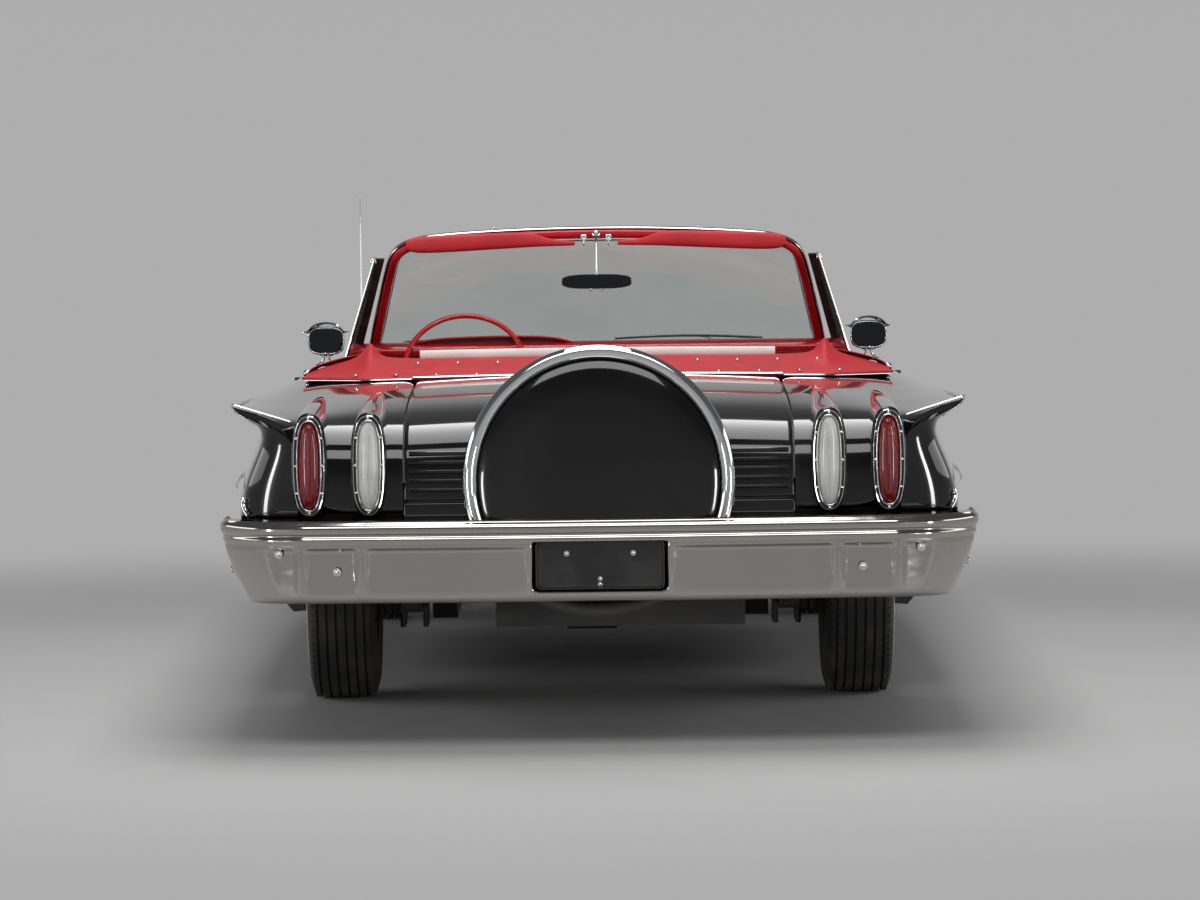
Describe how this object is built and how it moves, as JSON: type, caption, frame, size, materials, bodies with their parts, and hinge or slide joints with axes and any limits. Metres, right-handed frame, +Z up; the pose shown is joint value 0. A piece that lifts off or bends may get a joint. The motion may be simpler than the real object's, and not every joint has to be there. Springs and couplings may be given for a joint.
{
  "type": "convertible car",
  "caption": "Full-size two-door convertible of about 1960 with its roof folded, winged tail fins and a covered spare wheel carried upright between tail and bumper.",
  "frame": {"origin": "on the ground below the centre of the overall length and width", "axes": "+Y to the front of the car, +X to its right side, +Z up"},
  "size_m": [2.07, 5.688, 1.4999],
  "materials": {
    "body_paint": "gloss black paint",
    "chrome": "polished chrome",
    "frame_black": "satin black paint",
    "red_vinyl": "grained red vinyl",
    "red_paint": "gloss red paint",
    "red_plastic": "gloss red plastic",
    "glass": "clear glass",
    "lamp_glass": "clear ribbed glass",
    "red_lens": "red ribbed lens",
    "white_lens": "white ribbed lens",
    "tyre": "black tread rubber",
    "carpet": "dark red carpet over steel",
    "cast": "dark cast iron",
    "steel": "dull steel"
  },
  "bodies": {
    "body": {"frame_rails": "frame_black", "rear_crossmember": "frame_black", "floor_pan": "carpet", "front_fender_right": "body_paint", "front_fender_left": "body_paint", "rear_quarter_right": "body_paint", "rear_quarter_left": "body_paint", "tail_panel": "body_paint", "cowl": "body_paint", "rocker_panels": "body_paint", "door_hinges": "steel", "wheel_housings": "frame_black", "windshield_frame": "chrome", "windshield_glass": "glass", "dashboard": "red_paint", "steering_column": "red_plastic", "front_seat": "red_vinyl", "rear_seat": "red_vinyl", "rear_side_trim": "red_vinyl", "top_boot": "red_vinyl", "radiator_support": "frame_black", "grille": "chrome", "headlamps": "lamp_glass", "front_bumper": "chrome", "rear_bumper": "chrome", "tail_lamp_bezels": "chrome", "tail_lamp_lenses": "red_lens", "backup_lamp_lenses": "white_lens", "spare_band": "chrome", "spare_face": "body_paint", "front_arms": "frame_black", "rear_axle": "frame_black", "leaf_springs": "frame_black", "engine_block": "cast", "transmission": "cast", "drive_shaft": "steel", "fuel_tank": "steel", "exhaust": "steel", "antenna": "chrome"},
    "steering_wheel": {"steering_wheel": "red_plastic"},
    "hood": {"hood": "body_paint", "hood_arms": "steel"},
    "trunk_lid": {"trunk_lid": "body_paint", "lid_arms": "steel"},
    "door_right": {"door_right": "body_paint", "vent_window_right": "glass", "door_mirror_right": "chrome"},
    "door_left": {"door_left": "body_paint", "vent_window_left": "glass", "door_mirror_left": "chrome"},
    "knuckle_right": {"knuckle_right": "steel"},
    "knuckle_left": {"knuckle_left": "steel"},
    "wheel_front_right": {"tyre_front_right": "tyre", "wheel_front_right": "chrome"},
    "wheel_front_left": {"tyre_front_left": "tyre", "wheel_front_left": "chrome"},
    "wheel_rear_right": {"tyre_rear_right": "tyre", "wheel_rear_right": "chrome"},
    "wheel_rear_left": {"tyre_rear_left": "tyre", "wheel_rear_left": "chrome"}
  },
  "joints": [
    {"name": "door_right_hinge", "type": "hinge", "parent": "body", "child": "door_right", "pos_m": [0.98, 1.085, 0.6], "axis": [0, 0, 1], "range_deg": [0, 62]},
    {"name": "door_left_hinge", "type": "hinge", "parent": "body", "child": "door_left", "pos_m": [-0.98, 1.085, 0.6], "axis": [0, 0, -1], "range_deg": [0, 62]},
    {"name": "hood_hinge", "type": "hinge", "parent": "body", "child": "hood", "pos_m": [0, 1.264, 0.93], "axis": [1, 0, 0], "range_deg": [0, 50]},
    {"name": "trunk_lid_hinge", "type": "hinge", "parent": "body", "child": "trunk_lid", "pos_m": [0, -1.15, 0.938], "axis": [-1, 0, 0], "range_deg": [0, 62]},
    {"name": "steer_left", "type": "hinge", "parent": "body", "child": "knuckle_left", "pos_m": [-0.69, 1.964, 0.345], "axis": [0, 0, 1], "range_deg": [-30, 30]},
    {"name": "steer_right", "type": "hinge", "parent": "body", "child": "knuckle_right", "pos_m": [0.69, 1.964, 0.345], "axis": [0, 0, 1], "range_deg": [-30, 30]},
    {"name": "steering_wheel_turn", "type": "hinge", "parent": "body", "child": "steering_wheel", "pos_m": [-0.44, 0.74, 0.918], "axis": [0, -0.866, 0.5], "range_deg": [-480, 480]},
    {"name": "wheel_front_right_spin", "type": "hinge", "parent": "knuckle_right", "child": "wheel_front_right", "pos_m": [0.7745, 1.964, 0.345], "axis": [-1, 0, 0], "continuous": true},
    {"name": "wheel_rear_right_spin", "type": "hinge", "parent": "body", "child": "wheel_rear_right", "pos_m": [0.762, -1.084, 0.345], "axis": [-1, 0, 0], "continuous": true},
    {"name": "wheel_front_left_spin", "type": "hinge", "parent": "knuckle_left", "child": "wheel_front_left", "pos_m": [-0.7745, 1.964, 0.345], "axis": [-1, 0, 0], "continuous": true},
    {"name": "wheel_rear_left_spin", "type": "hinge", "parent": "body", "child": "wheel_rear_left", "pos_m": [-0.762, -1.084, 0.345], "axis": [-1, 0, 0], "continuous": true}
  ],
  "couplings": [
    {"joint": "steer_right", "follows": "steer_left", "ratio": 1},
    {"joint": "steering_wheel_turn", "follows": "steer_left", "ratio": 16}
  ]
}
